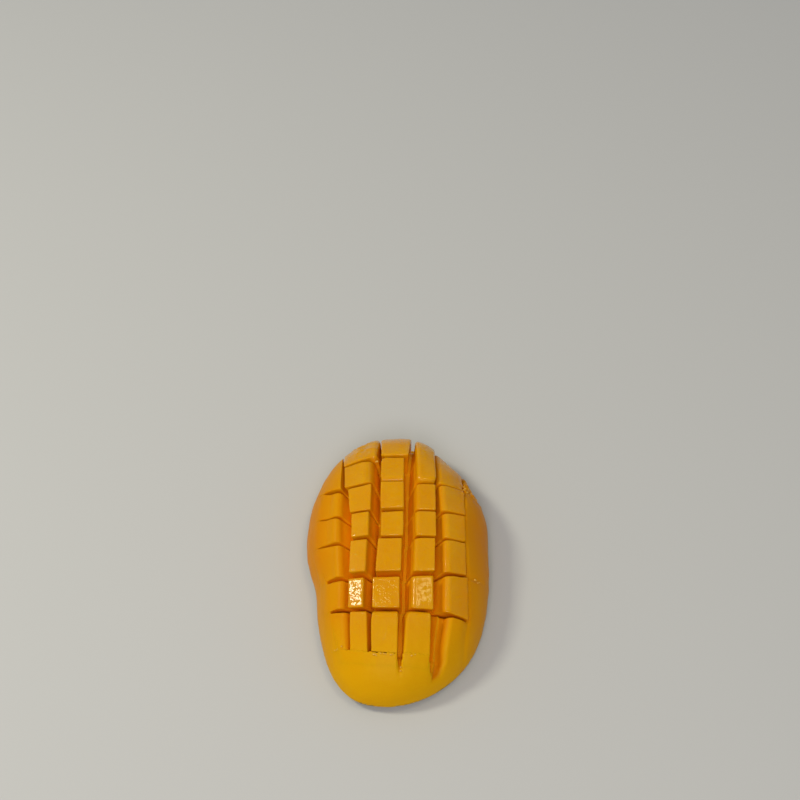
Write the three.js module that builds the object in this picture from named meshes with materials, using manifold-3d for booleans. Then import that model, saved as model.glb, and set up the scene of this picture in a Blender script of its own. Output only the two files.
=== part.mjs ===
// A mango half scored into cubes and turned inside out: the skin underneath is pushed up into a
// shallow hollow, so the flesh on top bulges and its columns of cubes fan apart.
// Millimetres, +Z up. The long axis is Y, with the smooth uncut end at -Y, and the origin is on the
// table under the middle.

import * as THREE from 'three';
import { mergeVertices } from 'three/addons/utils/BufferGeometryUtils.js';
import Module from 'manifold-3d';

// ---- Driving dimensions ----

const LENGTH = 109.4;
const WIDTH = 67.6;
const DOME_HEIGHT = 28.5;
const WIDEST_Y = 10.6;           // where the egg outline is widest
const NEAR_POWER = 2.3;          // of the outline toward the smooth end: 2 is an ellipse, more is squarer
const FAR_POWER = 2.12;

// The egg has shallow dents: a waist low on the -X side and two at the far +X shoulder. It swells in
// two places on the +X side, where the depth is negative. Each depth is a share of the radius, taken
// off round its angle, in degrees.
const DENTS = [
	{ depth: 0.058, angle: 215, spread: 16 },
	{ depth: 0.054, angle: 58, spread: 12 },
	{ depth: 0.034, angle: 34, spread: 10 },
	{ depth: -0.02, angle: 12, spread: 12 },
	{ depth: -0.02, angle: 299, spread: 14 },
];

const NOSE_SWING = 4.5;          // how far the smooth end swings to -X
const RIM_HEIGHT = 2.6;          // height of the widest line above the table
const FOOT_OUTER = 0.95;         // the flat foot ring, as shares of the outline's radius
const FOOT_INNER = 0.8;
const HOLLOW_DEPTH = 12.5;

const CUT_DEPTH = 11.5;          // how deep the knife went into the flesh
const LEAST_WALL = 3.2;          // no cut comes nearer to the hollow or the table than this
const FAN_DEPTH = 13;            // the cuts aim at a spine this far under the table
const FAN_ALONG = 0.36;          // how much the rows lean with their distance from the middle
const FLOOR_GAP = 0.3;           // what is left of a gap at its bottom
const CUBE_ROOT = 1.5;           // how far a cube reaches into the flesh under the cuts

const RANDOM_SEED = 11;
const UNEVEN_LIFT = 0.45;        // how far single cubes stand proud or sunk
const UNEVEN_CORNER = 0.35;      // how far a single cube's corners stray

// The long cuts, from -X to +X. Each has its x and its width at the surface at five places along
// the half: the far rim, the sixth row, the middle, the second row and the start of the smooth end.
const STATIONS = [48, 30, 5, -20, -41];
// The first line isn't cut: there the outer column's cubes grow out of the uncut margin.
const MARGIN = { x: [-25.5, -28.0, -30.2, -25.4, -21.3], width: [0, 0, 0, 0, 0] };
const MARGIN_ROOT = 1.6;         // how far those cubes reach into the margin
const MARGIN_SINK = 0.5;         // and how far under its surface they end
const LONG_CUTS = [
	{ x: [-20.1, -20.1, -19.0, -18.5, -16.8], width: [0.3, 1.2, 5.3, 2.6, 1.0] },
	{ x: [-6.2, -7.5, -8.0, -10.3, -9.6], width: [0.8, 3.0, 4.2, 3.4, 1.0] },
	{ x: [6.1, 5.1, 4.6, 3.2, 1.1], width: [1.6, 5.0, 4.6, 4.4, 2.0] },
	{ x: [14.6, 14.9, 15.8, 15.2, 13.0], width: [0.5, 0.7, 3.0, 4.5, 3.2] },
	{ x: [25.2, 25.3, 25.0, 25.5, 23.4], width: [0.6, 0.6, 0.6, 0.6, 0.6] },
];

// The cross cuts, from the smooth end to the far end. Each has its y at x = 0, its width at the
// surface, and how far it has risen toward the far end at RISE_X.
const CROSS_CUTS = [
	{ y: -41.7, width: 0.5, rise: 0 },
	{ y: -27.4, width: 1.3, rise: 0 },
	{ y: -14.7, width: 2.4, rise: 2.6 },
	{ y: -0.2, width: 1.1, rise: 1.2 },
	{ y: 11.0, width: 1.2, rise: 1.2 },
	{ y: 23.5, width: 1.1, rise: 1.6 },
	{ y: 35.9, width: 0.9, rise: 1.0 },
];
const RISE_X = 25;
const CROSS_BOW = 0.00018;       // how the cross cuts bow away from BOW_START on the -X side
const BOW_START = 3;
// On the flank beyond FLANK_X the farther cross cuts turn toward the far end.
const FLANK_X = -20;
const FLANK_START = -12;         // the cross cuts from this y on, which turn the more the farther they are
const FLANK_TURN = 1 / 75;
const OPENNESS = [0.6, 1, 1, 0.75, 0.5];     // share of those widths, for each column
const FIRST_ROWS = [0, 0, 0, 0, 1];          // each column's first and last row of cubes
const LAST_ROWS = [5, 6, 6, 5, 5];
const SLANT = 0.4;               // how much a cube's sides follow the bends of the long cuts
const FAR_RIM = { y: 50, width: 0, rise: 0, inset: 1.0 };
const PAST_RIM = { y: 66, width: 0, rise: 0 };
const FAR_LIFTS = [0, 0, 0.5, 0, -0.3];      // how far each column's last piece stands proud

// The cuts that run on into the smooth end, where each comes to a point a little further to -X.
const TAPERS = [
	{ cut: LONG_CUTS[2], end: -53, turn: 0.3 },
	{ cut: LONG_CUTS[3], end: -49, turn: 1.3 },
];
const TAPER_TIP = { width: 0.2, depth: 0.4 };
const TAPER_RISE = 3;            // how far the wedge stands over the surface
const TAPER_FLARE = 1.3;         // how much wider it is there

// How the dome falls off from its middle, as exponents of a superellipse: across the half, toward
// the smooth end and toward the far end.
const FALL_ACROSS = { inner: 2.8, outer: 1.9 };
const FALL_NEAR = { inner: 2.3, outer: 1.75 };
const FALL_FAR = { inner: 3.0, outer: 2.0 };
const HOLLOW_POWER = 2.2;
const RIM_ROUND = 0.985;         // a ring that rounds the rim's underside, as a share of the radius

const RING_SEGMENTS = 84;
const TOP_RINGS = 15;
const HOLLOW_RINGS = 5;
const FIELD_ACROSS = 6;          // segments of the scored field
const FIELD_ALONG = 20;
const FAR_SEGMENTS = 4;          // segments along the last row, which bends down to the far rim
const OPEN_HEIGHT = DOME_HEIGHT + 6;         // the scored field is open up to here

// ---- The dome ----

const NEAR_RADIUS = LENGTH / 2 + WIDEST_Y;
const FAR_RADIUS = LENGTH / 2 - WIDEST_Y;

function degrees(angle) {
	return THREE.MathUtils.degToRad(angle);
}

// The outline's radius round the widest point, in the direction phi.
function outlineRadius(phi) {
	const near = Math.sin(phi) < 0;
	const across = Math.abs(Math.cos(phi)) / (WIDTH / 2);
	const along = Math.abs(Math.sin(phi)) / (near ? NEAR_RADIUS : FAR_RADIUS);
	const power = near ? NEAR_POWER : FAR_POWER;
	const sum = across ** power + along ** power;
	let kept = 1;
	for (const dent of DENTS) {
		const turn = Math.PI - THREE.MathUtils.euclideanModulo(degrees(dent.angle) - phi + Math.PI, 2 * Math.PI);
		kept -= dent.depth * Math.exp(-((turn / degrees(dent.spread)) ** 2));
	}
	return sum ** (-1 / power) * kept;
}

// The dome's height over the rim as a share of its full height: full in the middle, 0 at the rim.
// It falls off gently toward the smooth end and steeply at the flanks.
function domeShare(phi, share) {
	const end = Math.sin(phi) < 0 ? FALL_NEAR : FALL_FAR;
	const inner = THREE.MathUtils.lerp(FALL_ACROSS.inner, end.inner, Math.sin(phi) ** 2);
	const outer = THREE.MathUtils.lerp(FALL_ACROSS.outer, end.outer, Math.sin(phi) ** 2);
	return Math.max(0, 1 - share ** inner) ** (1 / outer);
}

// The smooth end swings to one side.
function swing(y) {
	const nearness = THREE.MathUtils.clamp((WIDEST_Y - y) / NEAR_RADIUS, 0, 1);
	return Math.sin(Math.PI * nearness) - NOSE_SWING * nearness ** 5;
}

// A plan position as a direction from the widest point and a share of the outline's radius.
function polar(x, y) {
	const phi = Math.atan2(y - WIDEST_Y, x - swing(y));
	return [phi, Math.hypot(x - swing(y), y - WIDEST_Y) / outlineRadius(phi)];
}

function domeHeight(x, y) {
	return RIM_HEIGHT + (DOME_HEIGHT - RIM_HEIGHT) * domeShare(...polar(x, y));
}

// The hollow's height over the table, 0 from the foot ring outward.
function hollowHeight(share) {
	return HOLLOW_DEPTH * (1 - Math.min(1, share / FOOT_INNER) ** HOLLOW_POWER);
}

// The height of the rim's rounded underside, 0 from the foot ring inward.
function rimHeight(share) {
	return RIM_HEIGHT * Math.sqrt(Math.max(0, share - FOOT_OUTER) / (1 - FOOT_OUTER));
}

// One closed body: a lathe of unit radius whose rings are then stretched to the egg outline.
function domeBody() {
	const profile = [];
	for (let i = 0; i <= TOP_RINGS; i++) {
		profile.push(new THREE.Vector2(Math.sin((i / TOP_RINGS) * Math.PI / 2), 1));
	}
	profile[0].x = 0;
	for (const share of [RIM_ROUND, FOOT_OUTER]) {
		profile.push(new THREE.Vector2(share, -1));
	}
	for (let i = HOLLOW_RINGS; i >= 0; i--) {
		profile.push(new THREE.Vector2(FOOT_INNER * i / HOLLOW_RINGS, -1));
	}
	const geometry = new THREE.LatheGeometry(profile.reverse(), RING_SEGMENTS);
	geometry.rotateX(Math.PI / 2);
	return mapped(geometry, (point) => {
		const phi = Math.atan2(point.y, point.x);
		const share = Math.min(1, Math.hypot(point.x, point.y));
		const y = WIDEST_Y + share * outlineRadius(phi) * Math.sin(phi);
		const x = share * outlineRadius(phi) * Math.cos(phi) + swing(y);
		const top = point.z > 0;
		return point.set(x, y, top ? domeHeight(x, y) : hollowHeight(share) + rimHeight(share));
	});
}

// ---- The cuts ----

// A value along the half, read between the stations.
function along(values, y) {
	if (y >= STATIONS[0]) {
		return values[0];
	}
	for (let i = 1; i < STATIONS.length; i++) {
		if (y >= STATIONS[i]) {
			const t = THREE.MathUtils.smoothstep(y, STATIONS[i], STATIONS[i - 1]);
			return THREE.MathUtils.lerp(values[i], values[i - 1], t);
		}
	}
	return values[values.length - 1];
}

// The far outline's y at some x, found in a few rounds from straight ahead.
function farOutline(x) {
	let y = FAR_RADIUS;
	for (let round = 0; round < 6; round++) {
		y = Math.sqrt(Math.max(0, outlineRadius(Math.atan2(y, x)) ** 2 - x * x));
	}
	return WIDEST_Y + y;
}

// A cross cut's y at some x. The far rim counts as the last cross cut.
function crossLine(cut, x) {
	if (cut === FAR_RIM) {
		return farOutline(x) - cut.inset;
	}
	const bow = x < 0 ? CROSS_BOW * (BOW_START - cut.y) : cut.rise / RISE_X ** 2;
	const turn = Math.max(0, FLANK_X - x) * Math.max(0, cut.y - FLANK_START) * FLANK_TURN;
	return cut.y + bow * x * x + turn;
}

// The direction in which a cut leaves the flesh: away from the spine under the table.
function fanDirection(x, y, z) {
	return new THREE.Vector3(x, FAN_ALONG * (y - WIDEST_Y / 2), z + FAN_DEPTH).normalize();
}

// The point on the surface over (x, y), moved out along the cuts, or in when out is negative, but
// no nearer than wall to the hollow or the table.
function flesh(x, y, out, wall = 0) {
	const z = domeHeight(x, y);
	const point = new THREE.Vector3(x, y, z).addScaledVector(fanDirection(x, y, z), out);
	if (out < 0) {
		point.z = Math.max(point.z, hollowHeight(polar(point.x, point.y)[1]) + wall);
	}
	return point;
}

// A box of width segments by length segments, stretched over a patch of the surface.
// place(u, v, top) gives the point for u and v from 0 to 1.
function patch(segmentsX, segmentsY, place) {
	const box = new THREE.BoxGeometry(1, 1, 1, segmentsX, segmentsY, 1);
	return mapped(box, (point) => place(point.x + 0.5, point.y + 0.5, point.z > 0));
}

// The plan position inside a cell between two long cuts and two cross cuts, u and v from 0 to 1.
// Side 1 is the flesh between the cuts' near walls, and side -1 the space out to their far walls.
// Level 0 is the floor of the cuts, where they are narrow, and level 1 the surface. The long cuts
// bend with y and the cross cuts with x, so a few rounds settle the position.
function inCell(cell, side, u, v, level) {
	const wall = (width) => side * THREE.MathUtils.lerp(Math.min(width, FLOOR_GAP), width, level) / 2;
	const root = cell.west === MARGIN ? side * MARGIN_ROOT : 0;
	const middle = (cell.south.y + cell.north.y) / 2;
	let x = 0;
	let y = middle;
	for (let round = 0; round < 4; round++) {
		const bend = THREE.MathUtils.lerp(middle, y, cell.slant);
		const westBend = cell.west === MARGIN ? y : bend;
		const west = along(cell.west.x, westBend) + wall(along(cell.west.width, bend)) - root;
		const east = along(cell.east.x, bend) - wall(along(cell.east.width, bend));
		x = THREE.MathUtils.lerp(west, east, u);
		const south = crossLine(cell.south, x) + wall(cell.south.width * cell.openness);
		const north = crossLine(cell.north, x) - wall(cell.north.width * cell.openness);
		y = THREE.MathUtils.lerp(south, north, v);
	}
	return [x, y];
}

// ---- The cubes ----

let seed = RANDOM_SEED;

function random() {
	seed = (seed * 16807) % 2147483647;
	return seed / 2147483647;
}

function uneven(range) {
	return (2 * random() - 1) * range;
}

// One cube: flat on top over the surface, and rooted a little below the floor of the cuts. At the
// far rim its outer face goes straight down.
function cube(cell, segmentsY, extraLift) {
	const lift = extraLift + uneven(UNEVEN_LIFT);
	const corners = [0, 1, 2, 3].map(() => uneven(UNEVEN_CORNER));
	return patch(1, segmentsY, (u, v, top) => {
		const [x, y] = inCell(cell, 1, u, v, top ? 1 : 0);
		if (top) {
			const inMargin = cell.west === MARGIN && u === 0;
			const stray = corners[Math.round(u) * 2 + Math.round(v)];
			return flesh(x, y, inMargin ? -MARGIN_SINK : lift + stray);
		}
		if (cell.north === FAR_RIM && v === 1) {
			return new THREE.Vector3(x, y, LEAST_WALL - CUBE_ROOT / 2);
		}
		return flesh(x, y, -CUT_DEPTH - CUBE_ROOT, LEAST_WALL - CUBE_ROOT);
	});
}

// The space that the cubes stand in: the cuts' whole depth under the surface, and open upward.
function field(cell) {
	return patch(FIELD_ACROSS, FIELD_ALONG, (u, v, top) => {
		const [x, y] = inCell(cell, -1, u, v, top ? 1 : 0);
		if (!top) {
			return flesh(x, y, -CUT_DEPTH, LEAST_WALL);
		}
		const z = domeHeight(x, y);
		const out = (OPEN_HEIGHT - z) / fanDirection(x, y, z).z;
		return flesh(...inCell(cell, -1, u, v, 1 + out / CUT_DEPTH), out);
	});
}

// A long cut's run into the smooth end: a wedge that comes to a point.
function taper({ cut, end, turn }, start) {
	return patch(1, 4, (u, v, top) => {
		const y = THREE.MathUtils.lerp(end, start, v);
		const width = THREE.MathUtils.lerp(TAPER_TIP.width, along(cut.width, start), v);
		const depth = THREE.MathUtils.lerp(TAPER_TIP.depth, CUT_DEPTH - CUBE_ROOT, v);
		const middle = along(cut.x, y) - turn * (1 - v);
		const x = middle + (u - 0.5) * (top ? width * TAPER_FLARE : TAPER_TIP.width);
		return flesh(x, y, top ? TAPER_RISE : -depth, LEAST_WALL);
	});
}

// ---- Solids ----

// A three.js geometry with its merged vertices moved by a function.
function mapped(source, move) {
	source.deleteAttribute('normal');
	source.deleteAttribute('uv');
	const geometry = mergeVertices(source, 1e-5);
	const positions = geometry.attributes.position;
	const point = new THREE.Vector3();
	for (let i = 0; i < positions.count; i++) {
		point.fromBufferAttribute(positions, i);
		const moved = move(point);
		positions.setXYZ(i, moved.x, moved.y, moved.z);
	}
	return geometry;
}

const wasm = await Module();
wasm.setup();

function solid(geometry) {
	return new wasm.Manifold(new wasm.Mesh({
		numProp: 3,
		vertProperties: new Float32Array(geometry.attributes.position.array),
		triVerts: new Uint32Array(geometry.index.array),
	}));
}

function toGeometry(manifold) {
	const mesh = manifold.getMesh();
	const geometry = new THREE.BufferGeometry();
	geometry.setAttribute('position', new THREE.BufferAttribute(mesh.vertProperties, 3));
	geometry.setIndex(new THREE.BufferAttribute(mesh.triVerts, 1));
	return geometry;
}

// The largest shell alone: it fills what the cubes seal between them and drops loose scraps.
function outerShell(manifold) {
	const shells = manifold.decompose();
	return shells.reduce((best, shell) => (shell.volume() > best.volume() ? shell : best));
}

// ---- The half ----

function mangoHalf() {
	const lines = [MARGIN, ...LONG_CUTS];
	const whole = { north: PAST_RIM, openness: 1, slant: 1 };
	const wide = { ...whole, west: MARGIN, east: LONG_CUTS[3], south: CROSS_CUTS[0] };
	const narrow = { ...whole, west: LONG_CUTS[3], east: LONG_CUTS[4], south: CROSS_CUTS[1] };
	let body = solid(domeBody());
	body = body.subtract(solid(field(wide)));
	body = body.subtract(solid(field(narrow)));
	for (let column = 0; column < LONG_CUTS.length; column++) {
		for (let row = FIRST_ROWS[column]; row <= LAST_ROWS[column]; row++) {
			const isLast = row === LAST_ROWS[column];
			const cell = {
				west: lines[column],
				east: lines[column + 1],
				south: CROSS_CUTS[row],
				north: isLast ? FAR_RIM : CROSS_CUTS[row + 1],
				openness: OPENNESS[column],
				slant: SLANT,
			};
			body = body.add(solid(cube(cell, isLast ? FAR_SEGMENTS : 1, isLast ? FAR_LIFTS[column] : 0)));
		}
	}
	for (const run of TAPERS) {
		body = body.subtract(solid(taper(run, CROSS_CUTS[0].y)));
	}
	return toGeometry(outerShell(body));
}

const fleshFinish = new THREE.MeshStandardMaterial({ color: 0xd08f14, roughness: 0.42, metalness: 0 });
fleshFinish.name = 'moist mango flesh';

const half = new THREE.Mesh(mangoHalf(), fleshFinish);
half.name = 'mango_half';

const group = new THREE.Group();
group.add(half);

export default group;
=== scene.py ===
"""The looks of a cubed mango half: the bed of flesh under the cuts, the cubes that stand on it and the
skin underneath, on a pale table in soft light.

The half lies in the frame of its solid, with +Y toward the cubed end. The functions that give its shape
work in millimetres, and a finished mesh is scaled to metres.
"""

import math
from collections import namedtuple

import bmesh
import bpy
import numpy as np
from mathutils import Matrix, Vector, noise


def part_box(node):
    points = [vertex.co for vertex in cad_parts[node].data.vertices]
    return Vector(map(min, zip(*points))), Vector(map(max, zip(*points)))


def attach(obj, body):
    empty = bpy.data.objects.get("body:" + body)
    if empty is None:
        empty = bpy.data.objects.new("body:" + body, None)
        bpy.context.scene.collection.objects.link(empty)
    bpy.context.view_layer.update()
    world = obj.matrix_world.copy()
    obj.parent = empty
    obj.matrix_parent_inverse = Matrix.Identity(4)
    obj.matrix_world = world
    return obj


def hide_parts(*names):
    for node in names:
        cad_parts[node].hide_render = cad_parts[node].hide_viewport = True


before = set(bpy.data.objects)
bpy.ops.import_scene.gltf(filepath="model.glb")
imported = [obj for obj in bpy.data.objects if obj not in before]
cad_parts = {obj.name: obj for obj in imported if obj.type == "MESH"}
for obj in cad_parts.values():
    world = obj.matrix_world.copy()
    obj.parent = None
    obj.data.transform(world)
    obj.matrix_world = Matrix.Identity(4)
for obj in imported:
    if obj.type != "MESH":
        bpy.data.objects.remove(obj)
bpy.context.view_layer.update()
half_low, half_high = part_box("mango_half")

bl_info = {
    "name": "Cubed mango half",
    "version": (1, 0, 0),
    "blender": (4, 5, 0),
    "location": "3D View > Sidebar > Mango half",
    "description": "Models a scored and opened mango half, with its skin and its light",
    "category": "Object",
}

MM = 0.001                      # one millimetre in metres

# ---- The half's own shape, in millimetres ----

LENGTH = (half_high.y - half_low.y) / MM
WIDTH = 67.6
DOME_HEIGHT = 28.5
WIDEST_Y = 10.6                 # where the egg outline is widest
NEAR_POWER = 2.3                # of the outline toward the smooth end: 2 is an ellipse, more is squarer
FAR_POWER = 2.12

# The egg has shallow dents: a waist low on the -X side and two at the far +X shoulder. It swells in two
# places on the +X side, where the depth is negative. Each depth is a share of the radius, taken off
# round its angle, in degrees.
Dent = namedtuple("Dent", "depth angle spread")
DENTS = (
    Dent(0.058, 215, 16),
    Dent(0.054, 58, 12),
    Dent(0.034, 34, 10),
    Dent(-0.02, 12, 12),
    Dent(-0.02, 299, 14),
)

NOSE_SWING = 4.5                # how far the smooth end swings to -X, past a bow to +X on the way
SWING_BOW = 1.0
SWING_POWER = 5
RIM_HEIGHT = 2.6                # height of the widest line above the table
FOOT_OUTER = 0.95               # the flat foot ring, as shares of the outline's radius
FOOT_INNER = 0.8
HOLLOW_DEPTH = 12.5
HOLLOW_POWER = 2.2

CUT_DEPTH = 11.5                # how deep the knife went into the flesh
LEAST_WALL = 3.2                # no cut comes nearer to the hollow or the table than this
FAN_DEPTH = 13.0                # the cuts aim at a spine this far under the table
FAN_ALONG = 0.36                # how much the rows lean with their distance from the middle
FLOOR_GAP = 0.3                 # what is left of a gap at its bottom
CUBE_ROOT = 1.5                 # how far a cube reaches into the flesh under the cuts

# How the dome falls off from its middle, as exponents of a superellipse.
FALL_ACROSS = (2.8, 1.9)
FALL_NEAR = (2.3, 1.75)
FALL_FAR = (3.0, 2.0)

NEAR_RADIUS = LENGTH / 2 + WIDEST_Y
FAR_RADIUS = LENGTH / 2 - WIDEST_Y

LongCut = namedtuple("LongCut", "x width")
CrossCut = namedtuple("CrossCut", "y width rise")
Cell = namedtuple("Cell", "west east south north openness slant")

# The long cuts, from -X to +X. Each has its x and its width at the surface at five places along the
# half: the far rim, the sixth row, the middle, the second row and the start of the smooth end.
STATIONS = (48, 30, 5, -20, -41)
MARGIN = LongCut((-25.5, -28.0, -30.2, -25.4, -21.3), (0,) * 5)
LONG_CUTS = (
    LongCut((-20.1, -20.1, -19.0, -18.5, -16.8), (0.3, 1.2, 5.3, 2.6, 1.0)),
    LongCut((-6.2, -7.5, -8.0, -10.3, -9.6), (0.8, 3.0, 4.2, 3.4, 1.0)),
    LongCut((6.1, 5.1, 4.6, 3.2, 1.1), (1.6, 5.0, 4.6, 4.4, 2.0)),
    LongCut((14.6, 14.9, 15.8, 15.2, 13.0), (0.5, 0.7, 3.0, 4.5, 3.2)),
    LongCut((25.2, 25.3, 25.0, 25.5, 23.4), (0.6,) * 5),
)

# The cross cuts, from the smooth end to the far end, at x = 0, with how far each has risen toward the far
# end at the outermost long cut. They stand less open in the two columns on the +X side.
CROSS_CUTS = (
    CrossCut(-41.7, 0.5, 0),
    CrossCut(-27.4, 1.3, 0),
    CrossCut(-14.7, 2.4, 2.6),
    CrossCut(-0.2, 1.1, 1.2),
    CrossCut(11.0, 1.2, 1.2),
    CrossCut(23.5, 1.1, 1.6),
    CrossCut(35.9, 0.9, 1.0),
)
RISE_X = 25.0
OPENNESS = (0.6, 1, 1, 0.75, 0.5)
FIRST_ROWS = (0, 0, 0, 0, 1)    # each column's first and last row of cubes
LAST_ROWS = (5, 6, 6, 5, 5)
SLANT = 0.4                     # how much a cube's sides follow the bends of the long cuts
FAR_RIM = CrossCut(50.0, 0, 0)  # the last cubes end at the outline, a little inside it
FAR_INSET = 1.0
PAST_RIM = CrossCut(66.0, 0, 0)
OUTLINE_ROUNDS = 6              # in how many rounds the far outline and a place in a cell settle
CELL_ROUNDS = 4
FAR_LIFTS = (0, 0, 0.5, 0, -0.3)    # how far each column's last cube stands proud
CROSS_BOW = 0.00018             # how the cross cuts bow away from BOW_START on the -X side
BOW_START = 3
FLANK_X = -20.0                 # on the flank beyond it the farther cross cuts turn toward the far end,
FLANK_START = -12.0             # from the one at this y on, and the more the farther they are
FLANK_TURN = 1 / 75

# The cuts that run on into the smooth end, with the y of each one's tip and how far it turns to -X. The
# flesh has sunk into a trough beside the last of them.
Taper = namedtuple("Taper", "cut end turn")
TAPERS = (Taper(LONG_CUTS[2], -53.0, 0.3), Taper(LONG_CUTS[3], -49.0, 1.3))
TROUGH = TAPERS[1]
TAPER_TIP_WIDTH = 0.2
TAPER_TIP_DEPTH = 0.4
TAPER_RISE = 3.0                # how far over the surface its cutter reaches
TAPER_FLARE = 1.3               # how much wider the cutter is there

# ---- What the fine surface adds, in millimetres ----

RANDOM_SEED = 11
UNEVEN_LIFT = 0.45              # how far single cubes stand proud or sunk
UNEVEN_CORNER = 0.35            # how far a single cube's corners stray
FIELD_ROOT = 1.2                # how far the scored field stays under the pieces that end in a seam
SEAM_ROOT = 3.2                 # how far a piece reaches past a side that ends in a seam
SEAM_SINK = 0.12                # how deep its edge lies there
SEAM_DEPTH = 2.5                # how thick it is there
SEAM_PROUD = 0.10               # how far it stands over the flesh that it runs into
SEAM_RISE = 4.0                 # how far from its edge it has risen
SEAM_FREE = 6.0                 # how far past its root it has its own lift again
SEAM_THICK = 3.0                # and its whole depth
SEAM_TIGHT = 0.15               # how much of the rounding is left at the margin's seam
SEAM_NARROW = 0.1               # and of the cross cuts' width
MARGIN_FADE = (0.12, 0.62)      # over which share of the piece's width they come back
BED_DEPTH = 10.2                # the flesh holds together below this, though the knife went deeper
NOSE_DEPTH = 5.5                # and below this toward the smooth end
NOSE_FADE = (-44.0, -24.0)      # the y from which it gets deeper and the y where it is whole
FAR_DEPTH = 5.0                 # the same toward the far end
FAR_FADE = (30.0, 50.0)
SOFTENING_SHARE = 0.5           # how much the bed's grain is softened at a time, and how often
SOFTENING_ROUNDS = 3
RIM_INSIDE = 0.95               # how far out such a piece may come, as a share of the outline's radius
FIELD_CELLS = (24, 60, 1)       # how finely the cutters are split along x, y and z
TAPER_CELLS = (1, 8, 1)
LIP_CLOSED = 0.6                # how far the cut at the smooth end has closed
LIP_WIDTH = 5.4                 # width of the strips of flesh along it
LIP_SEAM = 1.0                  # how far they reach past the margin
BARE_SEAM = 0.01                # a side that ends in a seam but hardly reaches past it
CRACK_WOBBLE = 0.12             # how far that cut strays from its line, in two waves
CRACK_WAVES = ((1.9, 0.0), (4.1, 2.0))

# The unevenness everywhere and what the ragged spots add, as heights and sizes, and the spots by x, y
# and radius.
ROUGH_LAYERS = ((0.22, 14.0), (0.12, 4.0), (0.025, 1.1))
RAGGED_LAYERS = ((1.0, 2.6), (0.5, 1.2))
RAGGED_SPOTS = ((-11.8, 45.5, 5.0), (-7.0, 36.0, 2.5), (28.0, 26.5, 4.5))
RAGGED_SEED = 11
NOISE_SHIFT = (17.3, 5.1, 9.7)  # how far apart the noises of two seeds lie

# What the flesh has sunk beside the last cut but one, where it runs into the smooth end, and beside the
# outermost cut, where it leaves a low step.
TROUGH_DEPTH = 3.2
TROUGH_WIDTH = 3.4
TROUGH_CURVE = 1.5              # how hollow its slope is, where 1 is straight
TROUGH_TIP = 0.6                # over which share of its length it dies out
STEP_DEPTH = 0.7
STEP_WIDTH = 8.0
STEP_FADE = (-32.0, -24.0)      # the y from which it rises and the y where it is whole
GROOVE_DEPTH = 0.7              # of the faint cuts that run on past the cubes
GROOVE_WIDTH = 0.9
GROOVE_FADE = (-46.0, -40.0)    # the same for the one along the half
GROOVE_END = -25.0
CROSS_FADE = (4.0, 8.0)         # how far past the step the one across it fades
SINK_REACH = 8.0                # how far under the surface the flesh still sinks a little

FLANK_FADE = (0.5, 0.95)        # from which share of the radius the flanks have their own colour
WALL_SHADE_FADE = (0.02, 0.2)         # and from which share of the cuts' depth the walls have it, as painted shade

BLOCK_SIDE = 12.0               # the pattern block that every cube starts from
BLOCK_HEIGHT = 13.0
ROUND_SEGMENTS = 3              # facets of a rounded edge
CUBE_CELLS = (26, 26, 14)       # how finely the block is split along x, y and z
LIP_CELLS = (60, 60, 4)
MOIST = 0.8                     # share of the coat of juice on a freshly cut top, and on the rest
DULL = 0.0
MOIST_FADE = (-40.0, -26.0)     # the y up to which the tops are dull and where they are moist
JUICE_FADE = (0.05, 0.2)        # between which shares of the cuts' depth the juice ends
LAST_FOOT = 0.6                 # from which share of its length a last cube's foot runs straight down
TIGHT = 0.4                     # how much of its rounding an edge keeps along a fine cut
SOFT = 5.0                      # and along the wide cut beside the first column
ROUNDING_BLEND = 1.5            # how far from an edge its own rounding ends
# The edges that are rounded off more, by column and row: west, east, south and north.
BROAD_EDGES = {
    (0, 5): (TIGHT, TIGHT, 1, 1),
    (1, 5): (TIGHT, 7, 1, 1),
    (1, 6): (TIGHT, 3, 1, 1),
    (2, 0): (1, 1, TIGHT, 4),
    (2, 5): (1, 1, 4, 1),
    (3, 0): (2, 1, TIGHT, 4),
    (3, 5): (3, 2, 3, 1),
}
COLUMN_EDGES = ((TIGHT, SOFT, 1, 1), (1, 1, 1, 1), (1, 1, 1, 1), (3, 1, 1, 1), (4, TIGHT, 1, 1))
TOP_CROWN = 0.2                 # how much a cube's top follows the dome, where 0 is flat

# Where the specks lie, pale partly as painted glints: x, y, how far they spread along x and y, and
# how many.
FROTH_SPOTS = (
    (-20.0, -37.2, 1.8, 0.3, 5), (-5.0, -41.7, 4.5, 0.3, 10), (5.5, -41.8, 1.5, 0.3, 4),
    (1.3, -46.5, 0.3, 1.2, 3), (28.6, -11.9, 1.8, 0.4, 6), (27.0, 26.5, 2.4, 2.0, 9),
    (30.5, 26.0, 1.0, 1.0, 3), (-7.5, 34.0, 0.4, 1.0, 3),
)
FROTH_SEED = 5
FROTH_SIZE = 0.32               # radius of a speck
FROTH_VARIES = 0.4              # how much the specks differ, as a share of it
FROTH_FLATNESS = 0.5

SKIN_REACH = 0.993              # how near the skin comes to the rim, as a share of the radius

DOME_SEGMENTS = 180
DOME_RINGS = 120
OPEN_HEIGHT = DOME_HEIGHT + 6   # how high the scored field's cutter reaches


# ---- Shape functions. They take and give numpy arrays, in millimetres ----


def lerp(start, end, share):
    return start + (end - start) * share


def smoothstep(low, high, value):
    share = np.clip((value - low) / (high - low), 0, 1)
    return share * share * (3 - 2 * share)


def outline_radius(phi):
    """The outline's radius round the widest point, in the direction phi."""
    near = np.sin(phi) < 0
    power = np.where(near, NEAR_POWER, FAR_POWER)
    total = np.abs(np.cos(phi) / (WIDTH / 2)) ** power
    total += np.abs(np.sin(phi) / np.where(near, NEAR_RADIUS, FAR_RADIUS)) ** power
    kept = 1.0
    for dent in DENTS:
        turn = math.pi - np.mod(math.radians(dent.angle) - phi + math.pi, 2 * math.pi)
        kept = kept - dent.depth * np.exp(-((turn / math.radians(dent.spread)) ** 2))
    return total ** (-1 / power) * kept


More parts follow.
